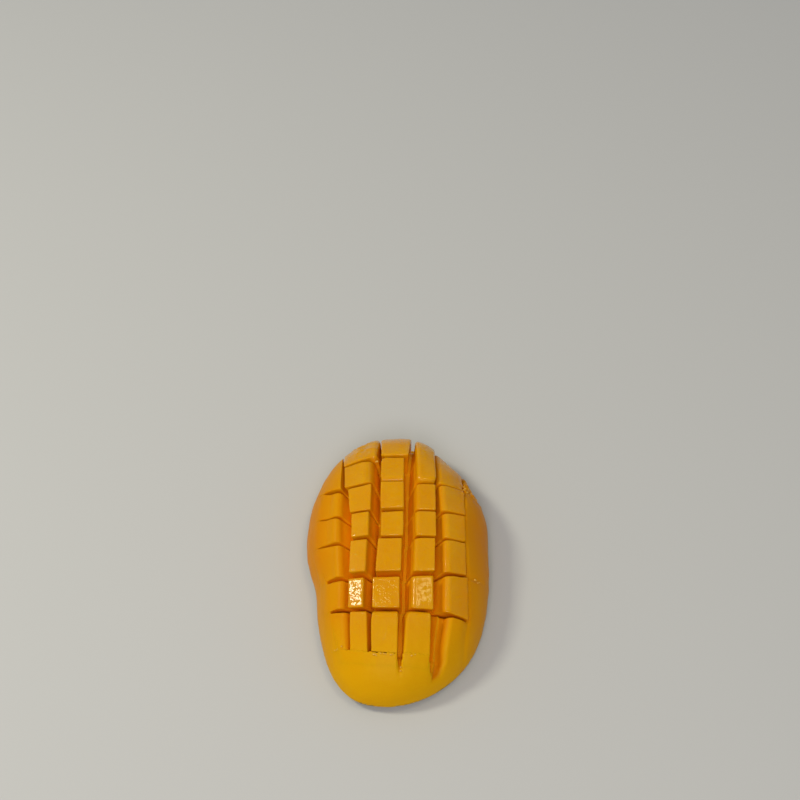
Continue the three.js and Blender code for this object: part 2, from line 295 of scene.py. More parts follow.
def dome_share(phi, share):
    """The dome's height over the rim: 1 in the middle and 0 at the rim."""
    near = np.sin(phi) < 0
    endward = np.sin(phi) ** 2
    inner = lerp(FALL_ACROSS[0], np.where(near, FALL_NEAR[0], FALL_FAR[0]), endward)
    outer = lerp(FALL_ACROSS[1], np.where(near, FALL_NEAR[1], FALL_FAR[1]), endward)
    return np.maximum(0, 1 - share ** inner) ** (1 / outer)


def swing(y):
    """How far to +X the half's middle line lies."""
    nearness = np.clip((WIDEST_Y - y) / NEAR_RADIUS, 0, 1)
    return SWING_BOW * np.sin(math.pi * nearness) - NOSE_SWING * nearness ** SWING_POWER


def polar(x, y):
    """A plan position as a direction from the widest point and a share of the outline's radius."""
    phi = np.arctan2(y - WIDEST_Y, x - swing(y))
    return phi, np.hypot(x - swing(y), y - WIDEST_Y) / outline_radius(phi)


def from_polar(phi, share):
    """The plan position in the direction phi, at a share of the outline's radius."""
    y = WIDEST_Y + share * outline_radius(phi) * np.sin(phi)
    return share * outline_radius(phi) * np.cos(phi) + swing(y), y


def kept_inside(x, y):
    """Plan positions, with those that lie past the rim's inside drawn in to it."""
    share = polar(x, y)[1]
    keep = np.minimum(1, RIM_INSIDE / np.maximum(share, 1e-6))
    middle = swing(y)
    return middle + (x - middle) * keep, WIDEST_Y + (y - WIDEST_Y) * keep


def dome_height(x, y):
    return RIM_HEIGHT + (DOME_HEIGHT - RIM_HEIGHT) * dome_share(*polar(x, y))


def hollow_height(share):
    """The hollow's height over the table, 0 from the foot ring outward."""
    return HOLLOW_DEPTH * (1 - np.minimum(1, share / FOOT_INNER) ** HOLLOW_POWER)


def rim_height(share):
    """The height of the rim's rounded underside, 0 from the foot ring inward."""
    return RIM_HEIGHT * np.sqrt(np.maximum(0, share - FOOT_OUTER) / (1 - FOOT_OUTER))


def along(values, y):
    """A value along the half, read between the stations."""
    result = np.full_like(y, values[-1])
    for i in range(len(STATIONS) - 1, 0, -1):
        share = smoothstep(STATIONS[i], STATIONS[i - 1], y)
        result = np.where(y >= STATIONS[i], lerp(values[i], values[i - 1], share), result)
    return result


def far_outline(x):
    """The far outline's y at some x, found in a few rounds from straight ahead."""
    y = np.full_like(x, FAR_RADIUS)
    for _ in range(OUTLINE_ROUNDS):
        y = np.sqrt(np.maximum(0, outline_radius(np.arctan2(y, x)) ** 2 - x * x))
    return WIDEST_Y + y


def cross_line(cut, x):
    """A cross cut's y at some x. The far rim counts as the last cross cut."""
    if cut is FAR_RIM:
        return far_outline(x) - FAR_INSET
    bow = np.where(x < 0, CROSS_BOW * (BOW_START - cut.y), cut.rise / RISE_X ** 2)
    turn = np.maximum(0, FLANK_X - x) * max(0, cut.y - FLANK_START) * FLANK_TURN
    wobble = CRACK_WOBBLE if cut.y < CROSS_CUTS[1].y else 0
    waves = sum(np.sin(rate * x + start) for rate, start in CRACK_WAVES)
    return cut.y + bow * x * x + turn + wobble * waves


def fan_direction(x, y, z):
    """The direction in which a cut leaves the flesh: away from the spine under the table."""
    aim = np.stack([x, FAN_ALONG * (y - WIDEST_Y / 2), z + FAN_DEPTH], axis=-1)
    return aim / np.linalg.norm(aim, axis=-1, keepdims=True)


def flesh(x, y, out, wall=0.0):
    """Points on the surface over (x, y), moved out along the cuts, or in where out is negative, but no
    nearer than wall to the hollow or the table."""
    z = dome_height(x, y)
    out = np.broadcast_to(out, x.shape)
    points = np.stack([x, y, z], axis=-1) + fan_direction(x, y, z) * out[..., None]
    floor = hollow_height(polar(points[..., 0], points[..., 1])[1]) + wall
    points[..., 2] = np.where(out < 0, np.maximum(points[..., 2], floor), points[..., 2])
    return points


def in_cell(cell, side, u, v, level, roots=(0, 0, 0, 0), narrow=1.0):
    """Plan positions inside a cell between two long cuts and two cross cuts, u and v from 0 to 1.
    Side 1 is the flesh between the cuts' near walls, and side -1 the space out to their far walls.
    Level 0 is the floor of the cuts and level 1 the surface. Roots push the west, east, south and
    north side out. Narrow is a share of the cross cuts' width. The long cuts bend with y and the
    cross cuts with x, so a few rounds settle the position."""

    def wall(width):
        return side * lerp(np.minimum(width, FLOOR_GAP), width, level) / 2

    x = np.zeros_like(u)
    middle = (cell.south.y + cell.north.y) / 2
    y = np.full_like(u, middle)
    for _ in range(CELL_ROUNDS):
        bend = lerp(middle, y, cell.slant)
        west_bend = y if cell.west is MARGIN else bend
        west = along(cell.west.x, west_bend) + wall(along(cell.west.width, bend)) - roots[0]
        east = along(cell.east.x, bend) - wall(along(cell.east.width, bend)) + roots[1]
        x = lerp(west, east, u)
        south = cross_line(cell.south, x) + wall(cell.south.width * cell.openness) * narrow - roots[2]
        north = cross_line(cell.north, x) - wall(cell.north.width * cell.openness) * narrow + roots[3]
        y = lerp(south, north, v)
    return x, y


# ---- Meshes ----


def add_to_scene(name, mesh):
    piece = bpy.data.objects.new(name, mesh)
    bpy.context.scene.collection.objects.link(piece)
    return piece


def mesh_of(bm, name):
    mesh = bpy.data.meshes.new(name)
    bm.to_mesh(mesh)
    bm.free()
    return mesh


def read_vectors(items, name):
    flat = np.empty(len(items) * 3, np.float32)
    items.foreach_get(name, flat)
    return flat.reshape(-1, 3).astype(float)


def write_points(mesh, points):
    mesh.vertices.foreach_set("co", points.astype(np.float32).ravel())
    mesh.update()


def move_verts(verts, move):
    """Moves bmesh vertices by a function of their coordinates as an array."""
    points = move(np.array([vert.co for vert in verts], float))
    for vert, point in zip(verts, points):
        vert.co = point


def patch(name, cells, place):
    """A closed box, split into cells and stretched over a patch of the surface. place gives the points
    for u, v and w, each from 0 to 1, as arrays."""
    bm = bmesh.new()
    bmesh.ops.create_cube(bm, size=1)
    for axis, count in enumerate(cells):
        parallel = [edge for edge in bm.edges
                    if abs((edge.verts[0].co - edge.verts[1].co)[axis]) > 1e-6]
        if count > 1:
            bmesh.ops.subdivide_edges(bm, edges=parallel, cuts=count - 1, use_grid_fill=True)
    move_verts(bm.verts, lambda points: place(*(points + 0.5).T))
    bmesh.ops.recalc_face_normals(bm, faces=bm.faces)
    return mesh_of(bm, name)


def bumps(points, size, seed):
    """Smooth noise from -1 to 1 whose features are about size millimetres across."""
    offset = Vector([seed * shift for shift in NOISE_SHIFT])
    return np.array([noise.noise(Vector(point) / size + offset) for point in points])


def roughen(mesh):
    """Moves the vertices along their normals by the layers of unevenness."""
    points = read_vectors(mesh.vertices, "co")
    x, y, _ = points.T
    rise = np.zeros(len(points))
    for seed, (height, size) in enumerate(ROUGH_LAYERS, 1):
        rise += height * bumps(points, size, seed)
    ragged = np.zeros(len(points))
    for middle_x, middle_y, radius in RAGGED_SPOTS:
        ragged += np.exp(-((x - middle_x) ** 2 + (y - middle_y) ** 2) / radius ** 2)
    for seed, (height, size) in enumerate(RAGGED_LAYERS, RAGGED_SEED):
        rise += height * bumps(points, size, seed) * ragged
    normals = read_vectors(mesh.vertex_normals, "vector")
    write_points(mesh, points + normals * rise[:, None])


def sink(mesh):
    """Lowers the flesh beside the cuts that run on past the cubes, and says how far."""
    points = read_vectors(mesh.vertices, "co")
    x, y, z = points.T
    run_on = np.clip((CROSS_CUTS[0].y - y) / (CROSS_CUTS[0].y - TROUGH.end), 0, 1)
    past_trough = x - along(TROUGH.cut.x, y) + TROUGH.turn * run_on
    open_side = np.maximum(0, past_trough - along(TROUGH.cut.width, y) / 2 * (1 - run_on))
    slope = np.maximum(0, 1 - open_side / TROUGH_WIDTH) ** TROUGH_CURVE
    down = TROUGH_DEPTH * slope * smoothstep(0, TROUGH_TIP, 1 - run_on) * (past_trough > 0)
    past_step = x - along(LONG_CUTS[4].x, y)
    step = (1 - smoothstep(0, STEP_WIDTH, past_step)) * smoothstep(*STEP_FADE, y)
    down += STEP_DEPTH * step * (past_step > 0)
    groove = np.exp(-((past_step / GROOVE_WIDTH) ** 2)) * smoothstep(*GROOVE_FADE, y) * (y < GROOVE_END)
    past_cross = (y - cross_line(CROSS_CUTS[2], x)) / GROOVE_WIDTH
    groove += np.exp(-(past_cross ** 2)) * (past_step > 0) * (1 - smoothstep(*CROSS_FADE, past_step))
    down += GROOVE_DEPTH * groove
    nearness = np.clip(1 - (dome_height(x, y) - z) / SINK_REACH, 0, 1)
    points[:, 2] -= down * nearness
    write_points(mesh, points)
    return down * nearness


def set_attribute(mesh, name, values):
    attribute = mesh.attributes.new(name, "FLOAT", "POINT")
    attribute.data.foreach_set("value", np.clip(values, 0, 1).astype(np.float32))


def set_attributes(mesh, moisture, sunk=0.0):
    """Stores how deep each vertex lies under the half's surface, from 0 on it to 1 at the cuts' floor and
    without what it has sunk, which gives the painted glow down in the cuts; how far out it lies on one of
    the flanks, for riper flesh, or how far down beside a cut, for painted shade, whichever is more; and
    how moist
    it is: as moist as said on the surface, and dull down in the cuts and toward the smooth end."""
    x, y, z = read_vectors(mesh.vertices, "co").T
    phi, share = polar(x, y)
    deep = (dome_height(x, y) - z) / CUT_DEPTH
    set_attribute(mesh, "depth", deep - sunk / CUT_DEPTH)
    flank_and_wall_shade = smoothstep(*FLANK_FADE, share) * np.cos(phi) ** 2
    # Riper flesh out on the flanks, and painted shade on the walls of the cuts.
    set_attribute(mesh, "flank_and_wall_shade", np.maximum(flank_and_wall_shade, smoothstep(*WALL_SHADE_FADE, deep)))
    moisture = moisture * smoothstep(*MOIST_FADE, y)
    set_attribute(mesh, "moist", moisture * (1 - smoothstep(*JUICE_FADE, deep)))


def finish_piece(name, mesh, material):
    """Scales a finished mesh to metres, gives it its material and hands it to the frame."""
    mesh.transform(Matrix.Scale(MM, 4))
    mesh.shade_smooth()
    mesh.materials.clear()
    mesh.materials.append(material)
    piece = add_to_scene(name, mesh)
    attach(piece, "root")
    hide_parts("mango_half")


# ---- The bed: the dome with the cuts taken out ----


def dome_mesh(lift_underside):
    """The whole dome, closed: a sphere whose equator is the rim."""
    bm = bmesh.new()
    bmesh.ops.create_uvsphere(bm, u_segments=DOME_SEGMENTS, v_segments=DOME_RINGS, radius=1)

    def place(points):
        x, y, z = points.T
        share = np.minimum(1, np.hypot(x, y))
        x, y = from_polar(np.arctan2(y, x), share)
        under = hollow_height(share) + rim_height(share)
        under = under + lift_underside * (1 - under / DOME_HEIGHT)
        return np.stack([x, y, np.where(z > -1e-6, dome_height(x, y), under)], axis=-1)

    move_verts(bm.verts, place)
    bmesh.ops.recalc_face_normals(bm, faces=bm.faces)
    return mesh_of(bm, "dome")


def field_mesh(cell, roots):
    """The space that the cubes stand in: the cuts' whole depth, and open upward."""

    def place(u, v, w):
        x, y = in_cell(cell, -1, u, v, np.ones_like(u), roots)
        z = dome_height(x, y)
        out = (OPEN_HEIGHT - z) / fan_direction(x, y, z)[:, 2]
        high = flesh(*in_cell(cell, -1, u, v, 1 + out / CUT_DEPTH, roots), out)
        x, y = in_cell(cell, -1, u, v, np.zeros_like(u), roots)
        depth = lerp(NOSE_DEPTH, BED_DEPTH, smoothstep(*NOSE_FADE, y))
        depth = lerp(depth, FAR_DEPTH, smoothstep(*FAR_FADE, y))
        low = flesh(x, y, -depth, LEAST_WALL)
        return np.where((w > 0.5)[:, None], high, low)

    return patch("field", FIELD_CELLS, place)


def taper_mesh(run):
    """A long cut's run into the smooth end: a wedge that comes to a point."""

    def place(u, v, w):
        y = lerp(run.end, CROSS_CUTS[0].y, v)
        width = lerp(TAPER_TIP_WIDTH, run.cut.width[-1], v)
        depth = lerp(TAPER_TIP_DEPTH, NOSE_DEPTH, v)
        top = w > 0.5
        middle = along(run.cut.x, y) - run.turn * (1 - v)
        x = middle + (u - 0.5) * np.where(top, width * TAPER_FLARE, TAPER_TIP_WIDTH)
        return flesh(x, y, np.where(top, TAPER_RISE, -depth), LEAST_WALL)

    return patch("taper", TAPER_CELLS, place)


def cut_out(body, cutters):
    """Takes the cutters' meshes out of the body's mesh and gives the result as a new mesh."""
    piece = add_to_scene("body", body)
    others = [add_to_scene("cutter", cutter) for cutter in cutters]
    for other in others:
        cut = piece.modifiers.new("cut", "BOOLEAN")
        cut.operation = "DIFFERENCE"
        cut.solver = "MANIFOLD"
        cut.object = other
    return settle(piece, others)


def settle(piece, others=()):
    """The piece's mesh with its modifiers applied. The piece and the others are removed."""
    depsgraph = bpy.context.evaluated_depsgraph_get()
    mesh = bpy.data.meshes.new_from_object(piece.evaluated_get(depsgraph))
    for done in [piece, *others]:
        old = done.data
        bpy.data.objects.remove(done)
        bpy.data.meshes.remove(old)
    return mesh


def even_out(mesh, voxel):
    """Remeshes to an even grain and softens it."""
    piece = add_to_scene("grain", mesh)
    grain = piece.modifiers.new("grain", "REMESH")
    grain.mode = "VOXEL"
    grain.voxel_size = voxel
    soft = piece.modifiers.new("soft", "SMOOTH")
    soft.factor = SOFTENING_SHARE
    soft.iterations = SOFTENING_ROUNDS
    return settle(piece)


def bed_mesh(sizes):
    """The flesh under and round the cubes. The last column starts one cross cut farther on."""
    wide = Cell(MARGIN, LONG_CUTS[3], CROSS_CUTS[0], PAST_RIM, 1, 1)
    narrow = Cell(LONG_CUTS[3], LONG_CUTS[4], CROSS_CUTS[1], PAST_RIM, 1, 1)
    cutters = [
        field_mesh(wide, (-FIELD_ROOT, 0, FIELD_ROOT, 0)),
        field_mesh(narrow, (0, 0, 0, 0)),
    ]
    cutters += [taper_mesh(run) for run in TAPERS]
    mesh = cut_out(dome_mesh(sizes.skin / MM), cutters)
    mesh = even_out(mesh, sizes.grain / MM)
    roughen(mesh)
    sunk = sink(mesh)
    set_attributes(mesh, DULL, sunk)
    return mesh


# ---- The cubes ----


def random_numbers(seed):
    """The solid's own row of random numbers, from -1 to 1."""
    while True:
        seed = (seed * 16807) % 2147483647
        yield 2 * seed / 2147483647 - 1


def block_pattern(cells, rounding):
    """A block with rounded edges and an even grid, from which a piece of flesh is shaped."""
    bm = bmesh.new()
    bmesh.ops.create_cube(bm, size=1)
    bmesh.ops.scale(bm, vec=(BLOCK_SIDE, BLOCK_SIDE, BLOCK_HEIGHT), verts=bm.verts)
    shown = [edge for edge in bm.edges if (edge.verts[0].co + edge.verts[1].co).z > -BLOCK_HEIGHT / 2]
    bmesh.ops.bevel(bm, geom=shown, offset=rounding, offset_type="OFFSET", affect="EDGES",
                    segments=ROUND_SEGMENTS, profile=0.5, material=-1)
    for axis, (side, count) in enumerate(zip((BLOCK_SIDE, BLOCK_SIDE, BLOCK_HEIGHT), cells)):
        reach = side / 2 - rounding
        normal = Vector([float(i == axis) for i in range(3)])
        for step in range(1, count):
            place = normal * lerp(-reach, reach, step / count)
            geometry = [*bm.verts, *bm.edges, *bm.faces]
            bmesh.ops.bisect_plane(bm, geom=geometry, dist=1e-5, plane_co=place, plane_no=normal)
    return mesh_of(bm, "block")


def stretched(place, side, length, rounding, start_scale, end_scale):
    """Moves places along a block of one side to a block of another length, from 0 to 1, and keeps the
    rounded ends at their own size times a scale each."""
    start = rounding * start_scale
    end = rounding * end_scale
    middle = lerp(start, length - end, (place - rounding) / (side - 2 * rounding))
    result = np.where(place < rounding, place * start_scale, middle)
    result = np.where(place > side - rounding, length - (side - place) * end_scale, result)
    return result / length


# A piece of flesh between cuts. Lift says how far it stands proud and strays how far its four corners do.
# Seams says how far its west, east, south and north side reach into the flesh beside them, where there is
# no cut, and tight how much of its rounding each top edge keeps. Crown is how much its top follows the
# dome.
Piece = namedtuple("Piece", "cell lift strays seams tight crown is_last")


def flesh_points(points, piece, rounding):
    """Where the block's points go for one piece."""
    cell = piece.cell
    whole_depth = CUT_DEPTH + CUBE_ROOT
    single = np.ones(1)
    west, east, south, north = [in_cell(cell, 1, single * u, single * v, single, piece.seams)
                                for u, v in ((0, 0.5), (1, 0.5), (0.5, 0), (0.5, 1))]
    width = float(np.hypot(east[0] - west[0], east[1] - west[1])[0])
    length = float(np.hypot(north[0] - south[0], north[1] - south[1])[0])

    def inward(u, v):
        """How far places are from the west, east, south and north side."""
        return u * width, (1 - u) * width, v * length, (1 - v) * length

    x, y, z = (points + (BLOCK_SIDE / 2, BLOCK_SIDE / 2, BLOCK_HEIGHT / 2)).T
    one = np.ones_like(x)
    in_margin = piece.seams[0] > 0
    u = stretched(x, BLOCK_SIDE, width, rounding, piece.tight[0], piece.tight[1])
    fade = smoothstep(*MARGIN_FADE, u) if in_margin else one
    v = stretched(y, BLOCK_SIDE, length, rounding, lerp(SEAM_TIGHT, piece.tight[2], fade),
                  lerp(SEAM_TIGHT, piece.tight[3], fade))
    edge = lerp(SEAM_TIGHT, 1, fade)
    for tight, distance in zip(piece.tight, inward(u, v)):
        reach = rounding * max(0, tight - 1)
        edge = edge * lerp(tight, 1, smoothstep(reach, reach + ROUNDING_BLEND, distance))
    w = 1 - stretched(BLOCK_HEIGHT - z, BLOCK_HEIGHT, whole_depth, rounding, edge, 1)

    def plan(u, v, level, fade):
        x, y = in_cell(cell, 1, u, v, level, piece.seams, lerp(SEAM_NARROW, 1, fade))
        return kept_inside(x, y) if any(piece.seams) and not piece.is_last else (x, y)

    def top(u, v, fade):
        strays = piece.strays
        out = (piece.lift + strays[0] * (1 - u) * (1 - v) + strays[1] * (1 - u) * v
               + strays[2] * u * (1 - v) + strays[3] * u * v)
        rise = np.ones_like(u)
        free = np.ones_like(u)
        for reach, distance in zip(piece.seams, inward(u, v)):
            if reach:
                rise = np.minimum(rise, np.clip(distance / SEAM_RISE, 0, 1))
                free = np.minimum(free, smoothstep(reach, reach + SEAM_FREE, distance))
        out = lerp(lerp(-SEAM_SINK, SEAM_PROUD, rise), out, free)
        return flesh(*plan(u, v, np.ones_like(u), fade), out)

    curved = top(u, v, fade)
    corners = [top(a * one, b * one, fade) for a in (0, 1) for b in (0, 1)]
    west_top = lerp(corners[0], corners[1], v[:, None])
    east_top = lerp(corners[2], corners[3], v[:, None])
    flat = lerp(west_top, east_top, u[:, None])
    crown = piece.crown * one
    depth = whole_depth * one
    for reach, distance in zip(piece.seams, inward(u, v)):
        if reach:
            crown = np.maximum(crown, 1 - smoothstep(reach, reach + SEAM_FREE, distance))
            thick = lerp(SEAM_DEPTH, whole_depth, smoothstep(reach, reach + SEAM_THICK, distance))
            depth = np.minimum(depth, thick)
    high = lerp(flat, curved, crown[:, None])
    low = flesh(*plan(u, v, np.zeros_like(u), fade), -depth, LEAST_WALL - CUBE_ROOT)
    if piece.is_last:
        foot = np.full_like(u, LEAST_WALL - CUBE_ROOT / 2)
        straight = np.stack([curved[:, 0], curved[:, 1], foot], axis=-1)
        low = lerp(low, straight, smoothstep(LAST_FOOT, 1, v)[:, None])
    return lerp(low, high, w[:, None])


def pieces_mesh(name, pieces, cells, rounding, moisture):
    """One mesh of several pieces of flesh."""
    block = block_pattern(cells, rounding)
    bm = bmesh.new()
    for piece in pieces:
        before = len(bm.verts)
        bm.from_mesh(block)
        bm.verts.ensure_lookup_table()
        move_verts(bm.verts[before:], lambda points: flesh_points(points, piece, rounding))
    bmesh.ops.recalc_face_normals(bm, faces=bm.faces)
    bpy.data.meshes.remove(block)
    mesh = mesh_of(bm, name)
    roughen(mesh)
    set_attributes(mesh, moisture)
    return mesh


def cube_pieces():
    """The pieces of each column of cubes. The random numbers are drawn in the solid's own order."""
    strays = random_numbers(RANDOM_SEED)
    lines = [MARGIN, *LONG_CUTS]
    columns = []
    for column in range(len(LONG_CUTS)):
        pieces = []
        for row in range(FIRST_ROWS[column], LAST_ROWS[column] + 1):
            is_last = row == LAST_ROWS[column]
            north = FAR_RIM if is_last else CROSS_CUTS[row + 1]
            lift = next(strays) * UNEVEN_LIFT + (FAR_LIFTS[column] if is_last else 0)
            corners = [next(strays) * UNEVEN_CORNER for _ in range(4)]
            cell = Cell(lines[column], lines[column + 1], CROSS_CUTS[row], north, OPENNESS[column], SLANT)
            seams = (SEAM_ROOT if column == 0 else 0, 0, 0, 0)
            tight = BROAD_EDGES.get((column, row), COLUMN_EDGES[column])
            if row == 0:    # its corners at the smooth end lie on the surface
                corners[0] = corners[2] = -lift
                tight = (*tight[:2], TIGHT, tight[3])
            pieces.append(Piece(cell, lift, corners, seams, tight, 1 if is_last else TOP_CROWN, is_last))
        columns.append(pieces)
    return columns


def lip_pieces():
    """The strips of flesh beside the fine cut that ends the scored field at the smooth end."""
    south = CROSS_CUTS[0]
    before = CrossCut(south.y - LIP_WIDTH, 0, 0)
    closed = CrossCut(south.y + LIP_CLOSED, south.width, 0)
    pieces = []
    for west, east, seam in ((MARGIN, LONG_CUTS[2], LIP_SEAM), (LONG_CUTS[2], LONG_CUTS[3], 0)):
        cell = Cell(west, east, before, closed, 1, 1)
        pieces.append(Piece(cell, 0, (0, 0, 0, 0), (seam, 0, BARE_SEAM, 0), (1, 1, 1, TIGHT), 1, False))
    return pieces


# ---- Specks of juice and torn pulp, pale partly as painted glints ----


def froth_mesh():
    """All the specks in one mesh, each a flattened bead on the surface."""
    strays = random_numbers(FROTH_SEED)
    bm = bmesh.new()
    for middle_x, middle_y, reach_x, reach_y, count in FROTH_SPOTS:
        for _ in range(count):
            x = middle_x + reach_x * next(strays)
            y = middle_y + reach_y * next(strays)
            z = float(dome_height(np.array([x]), np.array([y]))[0])
            size = FROTH_SIZE * (1 + FROTH_VARIES * next(strays))
            matrix = Matrix.Translation((x, y, z)) @ Matrix.Diagonal((1, 1, FROTH_FLATNESS, 1))
            bmesh.ops.create_icosphere(bm, subdivisions=2, radius=size, matrix=matrix)
    return mesh_of(bm, "froth")


# ---- The skin ----


def skin_mesh(sizes):
    """A thin shell under the flesh, from the middle of the hollow out to the rim."""
    bm = bmesh.new()
    bmesh.ops.create_uvsphere(bm, u_segments=DOME_SEGMENTS, v_segments=DOME_RINGS, radius=1)
    geometry = [*bm.verts, *bm.edges, *bm.faces]
    bmesh.ops.bisect_plane(bm, geom=geometry, dist=1e-6, plane_co=(0, 0, 0), plane_no=(0, 0, 1),
                           clear_outer=True)

    def place(points):
        x, y, _ = points.T
        share = SKIN_REACH * np.hypot(x, y)
        x, y = from_polar(np.arctan2(y, x), share)
        return np.stack([x, y, hollow_height(share) + rim_height(share)], axis=-1)

    move_verts(bm.verts, place)
    bmesh.ops.recalc_face_normals(bm, faces=bm.faces)
    if sum(face.normal.z for face in bm.faces) > 0:
        bmesh.ops.reverse_faces(bm, faces=bm.faces)
    bmesh.ops.solidify(bm, geom=bm.faces, thickness=sizes.skin / MM)
    bmesh.ops.recalc_face_normals(bm, faces=bm.faces)
    return mesh_of(bm, "skin")


# ---- Materials ----


FLESH = "ripe mango flesh"


def to_linear(code):
    """An sRGB hex colour as linear red, green and blue."""
    parts = [int(code[i:i + 2], 16) / 255 for i in (1, 3, 5)]
    return tuple(c / 12.92 if c <= 0.04045 else ((c + 0.055) / 1.055) ** 2.4 for c in parts)


def rgba(colour):
    return (*colour, 1.0)


def add_node(tree, kind, inputs=(), **settings):
    """Adds a node. Inputs pairs a socket's name or number with a value or with another node's socket."""
    node = tree.nodes.new(kind)
    for name, value in settings.items():
        setattr(node, name, value)
    for socket, value in dict(inputs).items():
        if isinstance(value, bpy.types.NodeSocket):
            tree.links.new(value, node.inputs[socket])
        else:
            node.inputs[socket].default_value = value
    return node


def new_material(name, inputs):
    """A material, its nodes and its surface, with the surface's constant inputs."""
    material = bpy.data.materials.new(name)
    material.use_nodes = True
    tree = material.node_tree
    tree.nodes.clear()
    surface = add_node(tree, "ShaderNodeBsdfPrincipled", inputs)
    add_node(tree, "ShaderNodeOutputMaterial", {"Surface": surface.outputs["BSDF"]})
    return material, tree, surface


def mixed(tree, share, first, second):
    """A colour between two others. Inputs 6 and 7 and output 2 are the node's colour sockets."""
    node = add_node(tree, "ShaderNodeMix", {"Factor": share, 6: first, 7: second}, data_type="RGBA")
    return node.outputs[2]


def noise_of(tree, place, size, detail):
    """Noise from 0 to 1 whose features are about size millimetres across."""
    inputs = {"Vector": place, "Scale": 1 / (size * MM), "Detail": detail}
    return add_node(tree, "ShaderNodeTexNoise", inputs).outputs["Fac"]


def between(tree, value, low, high, most=1.0, **settings):
    """How far a value has come from low to high, from 0 to 1 or to most."""
    inputs = {"Value": value, "From Min": low, "From Max": high, "To Max": most}
    return add_node(tree, "ShaderNodeMapRange", inputs, **settings).outputs["Result"]


def stored(tree, name):
    """The value that set_attributes stored under a name."""
    return add_node(tree, "ShaderNodeAttribute", attribute_name=name).outputs["Fac"]


def add_bump(tree, surface, socket, height, distance, strength=1.0):
    inputs = {"Height": height, "Distance": distance * MM, "Strength": strength}
    bump = add_node(tree, "ShaderNodeBump", inputs)
    tree.links.new(bump.outputs["Normal"], surface.inputs[socket])


def flesh_material(colours):
    """Ripe mango flesh. It gives the eye a full golden yellow that turns to a riper orange on the flanks,
    painted shade on the cuts' walls and, further down in the cuts, a bright orange that is painted glow
    for light thrown about inside them; light that goes a little way into the flesh and softens its edges;
    and a thin broken coat of juice that throws back small specks of light from the cut tops."""
    material, tree, surface = new_material(FLESH, {
        "Roughness": 0.4,
        "IOR": 1.36,
        "Specular IOR Level": 0.08,
        "Subsurface Weight": 0.4,
        "Subsurface Radius": (0.75, 0.6, 0.2),
        "Subsurface Scale": 2.0 * MM,
        "Coat Roughness": 0.06,
        "Coat IOR": 1.33,
    })
    place = add_node(tree, "ShaderNodeTexCoord").outputs["Object"]
    # Paler patches, and paler flesh at the smooth end.
    ripe = mixed(tree, noise_of(tree, place, 14, 3.0), rgba(colours.flesh_pale), rgba(colours.flesh))
    y = add_node(tree, "ShaderNodeSeparateXYZ", {"Vector": place}).outputs["Y"]
    ripe = mixed(tree, between(tree, y, -25 * MM, -45 * MM), ripe, rgba(colours.flesh_pale))
    # Riper flesh on the flanks, and painted shade on the walls of the cuts.
    ripe = mixed(tree, stored(tree, "flank_and_wall_shade"), ripe, rgba(colours.flesh_flank_and_shade))
    # Painted glow: down in the cuts a bright orange stands in for light scattered through the flesh and
    # thrown between the walls.
    deep = between(tree, stored(tree, "depth"), 0.03, 0.6, interpolation_type="SMOOTHSTEP")
    tree.links.new(mixed(tree, deep, ripe, rgba(colours.flesh_deep_glow)), surface.inputs["Base Color"])
    # A fine grain, which the juice makes deeper to the eye, and drops of juice.
    grain = noise_of(tree, place, 0.9, 1.0)
    add_bump(tree, surface, "Normal", grain, 0.02)
    add_bump(tree, surface, "Coat Normal", grain, 0.045)
    wet = between(tree, noise_of(tree, place, 1.1, 1.0), 0.4, 0.48, most=stored(tree, "moist"))
    tree.links.new(wet, surface.inputs["Coat Weight"])
    return material


def skin_material(colours):
    """Waxy mango skin. It gives the eye a yellow-green with broad greener patches and small pale pores,
    and a soft gloss that fine wrinkles break up."""
    material, tree, surface = new_material("waxy mango skin", {"Roughness": 0.38, "IOR": 1.45})
    place = add_node(tree, "ShaderNodeTexCoord").outputs["Object"]
    colour = mixed(tree, noise_of(tree, place, 22, 3.0), rgba(colours.skin_green), rgba(colours.skin))
    cells = add_node(tree, "ShaderNodeTexVoronoi", {"Vector": place, "Scale": 1 / (4.5 * MM)})
    dots = between(tree, cells.outputs["Distance"], 0.13, 0.08)
    tree.links.new(mixed(tree, dots, colour, rgba(colours.skin_dots)), surface.inputs["Base Color"])
    add_bump(tree, surface, "Normal", noise_of(tree, place, 2.5, 3.0), 0.15, 0.5)
    return material


def froth_glint_material(colours):
    """Juice and torn pulp. It gives the eye pale beads with a sharp gloss, lighter than the flesh; their
    pale colour is partly painted glint, the sparkle of light on wet juice.
    """
    # Painted glint: the beads are pale partly for the sparkle of light on juice.
    inputs = {"Base Color": rgba(colours.froth), "Roughness": 0.22, "IOR": 1.34}
    return new_material("juice froth glints", inputs)[0]


def table_material(colours):
    """Matt paint. It gives the eye a plain cool grey, on which the half's soft shadow shows."""
    return new_material("matt painted board", {"Base Color": rgba(colours.table), "Roughness": 0.6})[0]


# ---- Settings ----


def length_property(name, description, start, **limits):
    """A length in the panel, given in millimetres."""
    limits = {limit: value * MM for limit, value in limits.items()}
    return bpy.props.FloatProperty(name=name, description=description, default=start * MM,
                                   unit="LENGTH", **limits)


class MangoSizes(bpy.types.PropertyGroup):
    """Sizes of the fine surface."""

    grain: length_property("Grain", "Size of the bed's mesh cells", 0.5, min=0.3)
    rounding: length_property("Rounding", "How far the cubes' edges are rounded", 0.45, min=0.1, max=1.5)
    skin: length_property("Skin", "Thickness of the skin", 0.7, min=0.3, max=1.5)


def colour_property(name, description, code):
    """A colour in the panel that starts from an sRGB hex code."""
    return bpy.props.FloatVectorProperty(name=name, description=description, default=to_linear(code),
                                         subtype="COLOR", min=0, max=1)


